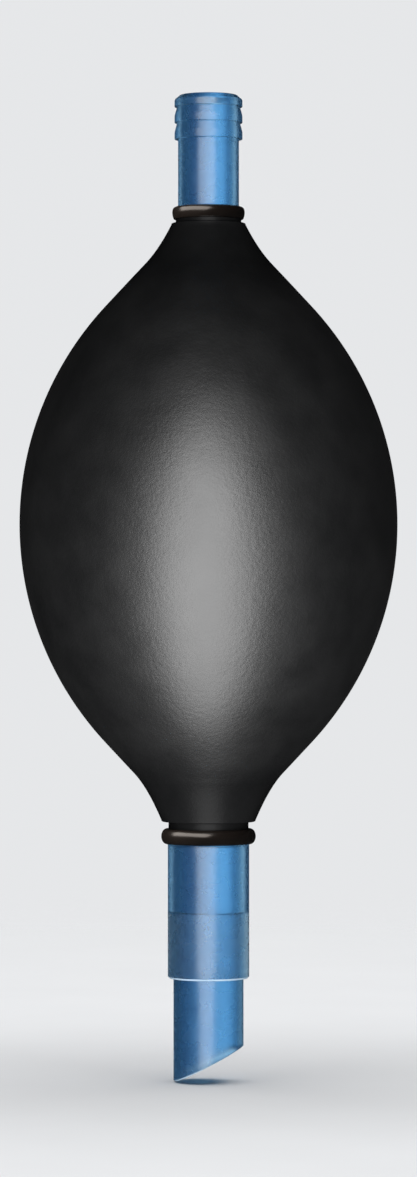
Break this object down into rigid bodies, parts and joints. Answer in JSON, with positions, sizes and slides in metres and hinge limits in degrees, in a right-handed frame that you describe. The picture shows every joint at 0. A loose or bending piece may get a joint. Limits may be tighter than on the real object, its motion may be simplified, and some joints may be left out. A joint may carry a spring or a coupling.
{
  "type": "hand squeeze siphon starter bulb",
  "caption": "Black rubber squeeze bulb with a barbed clear hose adapter at the top, a clear sleeve and slant-cut tube at the bottom, and a ball valve in each neck.",
  "frame": {"origin": "on the bulb's axis, level with the lowest point of the outlet tube's slanted end", "axes": "+Z along the bulb's axis, from the outlet tube up to the inlet hose adapter; -Y is the front wall, under the fingers; the longer side of the slanted end is at -X"},
  "size_m": [0.057, 0.057, 0.1492],
  "materials": {
    "bulb_rubber": "satin black, moulded",
    "ring_rubber": "semi gloss black, moulded",
    "seal_rubber": "soft, dark grey",
    "clear_plastic": "clear, slightly blue, glossy",
    "valve_plastic": "off-white, moulded",
    "ball_plastic": "ivory white, polished",
    "spring_steel": "drawn stainless wire"
  },
  "bodies": {
    "bulb": {"squeeze_bulb": "bulb_rubber", "inlet_neck_ring": "ring_rubber", "outlet_neck_ring": "ring_rubber"},
    "bulb_front": {"bulb_front_wall": "bulb_rubber"},
    "bulb_rear": {"bulb_rear_wall": "bulb_rubber"},
    "inlet_fitting": {"inlet_hose_adapter": "clear_plastic", "inlet_valve_seat": "valve_plastic", "inlet_seat_ring": "seal_rubber", "inlet_valve_cage": "valve_plastic", "inlet_spring": "spring_steel"},
    "inlet_valve_ball": {"inlet_ball": "ball_plastic"},
    "outlet_fitting": {"outlet_sleeve": "clear_plastic", "outlet_valve_seat": "valve_plastic", "outlet_seat_ring": "seal_rubber", "outlet_valve_cage": "valve_plastic", "outlet_spring": "spring_steel"},
    "outlet_valve_ball": {"outlet_ball": "ball_plastic"},
    "outlet_end": {"outlet_tube": "clear_plastic"}
  },
  "joints": [
    {"name": "front_wall_squeeze", "type": "slide", "parent": "bulb", "child": "bulb_front", "axis": [0, 1, 0], "range_m": [0, 0.014], "stiffness_N_per_m": 900, "deforming": ["bulb_front_wall"]},
    {"name": "rear_wall_squeeze", "type": "slide", "parent": "bulb", "child": "bulb_rear", "axis": [0, -1, 0], "range_m": [0, 0.014], "stiffness_N_per_m": 900, "deforming": ["bulb_rear_wall"]},
    {"name": "inlet_fitting_pull", "type": "slide", "parent": "bulb", "child": "inlet_fitting", "axis": [0, 0, 1], "range_m": [0, 0.024]},
    {"name": "inlet_ball_lift", "type": "slide", "parent": "inlet_fitting", "child": "inlet_valve_ball", "axis": [0, 0, -1], "range_m": [0, 0.0018], "stiffness_N_per_m": 8, "springref_m": -0.001, "deforming": ["inlet_spring"]},
    {"name": "outlet_fitting_pull", "type": "slide", "parent": "bulb", "child": "outlet_fitting", "axis": [0, 0, -1], "range_m": [0, 0.016]},
    {"name": "outlet_ball_lift", "type": "slide", "parent": "outlet_fitting", "child": "outlet_valve_ball", "axis": [0, 0, -1], "range_m": [0, 0.0018], "stiffness_N_per_m": 8, "springref_m": -0.001, "deforming": ["outlet_spring"]},
    {"name": "outlet_tube_pull", "type": "slide", "parent": "outlet_fitting", "child": "outlet_end", "axis": [0, 0, -1], "range_m": [0, 0.012]}
  ],
  "couplings": [
    {"joint": "rear_wall_squeeze", "follows": "front_wall_squeeze", "ratio": 1}
  ]
}
